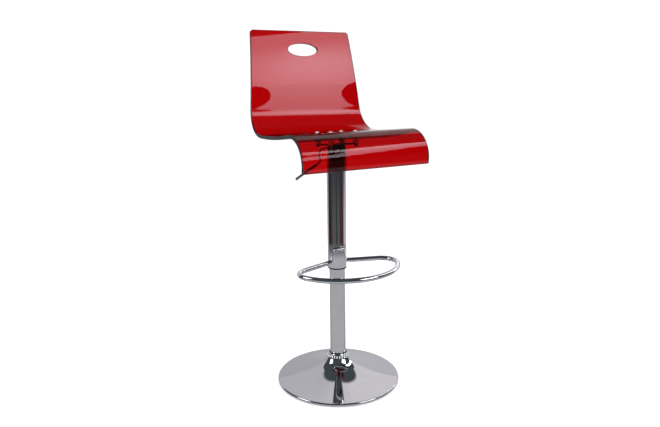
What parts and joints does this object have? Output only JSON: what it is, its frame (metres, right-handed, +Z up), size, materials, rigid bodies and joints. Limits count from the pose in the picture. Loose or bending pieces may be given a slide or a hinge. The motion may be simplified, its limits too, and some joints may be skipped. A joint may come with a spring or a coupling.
{
  "type": "adjustable swivel stool",
  "caption": "Tall swivel stool: bent clear red acrylic seat and backrest with a hand hole, chromed gas-lift column, footrest loop, side lever and round dished base.",
  "frame": {"origin": "on the floor under the base, on the axis of the column", "axes": "+Z up along the column; the sitter faces -Y; the sitter's right hand and the height lever are at -X"},
  "size_m": [0.4102, 0.439, 1.0996],
  "materials": {
    "chrome": "polished chrome plate",
    "steel": "plain machined steel",
    "black_steel": "satin black paint",
    "black_plastic": "satin black moulding",
    "black_rubber": "matt black rubber",
    "nylon": "natural nylon, milky",
    "brass": "plain brass",
    "red_acrylic": "clear red acrylic, polished"
  },
  "bodies": {
    "base": {"base_disc": "chrome", "ballast_plate": "steel", "floor_pad": "black_rubber", "hub_flange": "steel", "hub_bolts": "steel", "stand_tube": "chrome", "neck_bush": "black_plastic", "slotted_collar": "chrome", "guide_sleeve": "black_plastic", "lower_race": "steel"},
    "cage": {"ball_cage": "brass", "bearing_balls": "steel"},
    "spindle": {"piston_rod": "chrome", "piston": "steel", "piston_nut": "steel", "upper_race": "steel", "rod_washer": "steel", "clip_washer": "steel", "rod_clip": "steel", "rod_bumper": "black_rubber"},
    "seat": {"gas_cylinder": "black_steel", "cylinder_gland": "steel", "valve_body": "steel", "outer_sleeve": "chrome", "sleeve_bush": "black_plastic", "footrest": "chrome", "top_housing": "black_steel", "lever_pin": "steel", "seat_plate": "black_steel", "seat_spacers": "nylon", "seat_bolts": "chrome", "seat_washers": "black_plastic", "seat_nuts": "steel", "seat_shell": "red_acrylic"},
    "lever": {"lever_rod": "chrome", "lever_grip": "chrome"},
    "button": {"release_pin": "steel"}
  },
  "joints": [
    {"name": "swivel", "type": "hinge", "parent": "base", "child": "spindle", "pos_m": [0, 0, 0.0315], "axis": [0, 0, 1], "continuous": true},
    {"name": "lift", "type": "slide", "parent": "spindle", "child": "seat", "axis": [0, 0, 1], "range_m": [-0.215, 0.005]},
    {"name": "cage_turn", "type": "hinge", "parent": "base", "child": "cage", "pos_m": [0, 0, 0.0315], "axis": [0, 0, 1], "continuous": true},
    {"name": "lever_pull", "type": "hinge", "parent": "seat", "child": "lever", "pos_m": [-0.02, 0, 0.745], "axis": [0, 1, 0], "range_deg": [0, 6], "stiffness_Nm_per_rad": 4, "springref_deg": -2.86},
    {"name": "release_press", "type": "slide", "parent": "seat", "child": "button", "axis": [0, 0, 1], "range_m": [-0.0025, 0.0001]}
  ],
  "couplings": [
    {"joint": "cage_turn", "follows": "swivel", "ratio": 0.5},
    {"joint": "release_press", "follows": "lever_pull", "m_per_rad": -0.02}
  ]
}
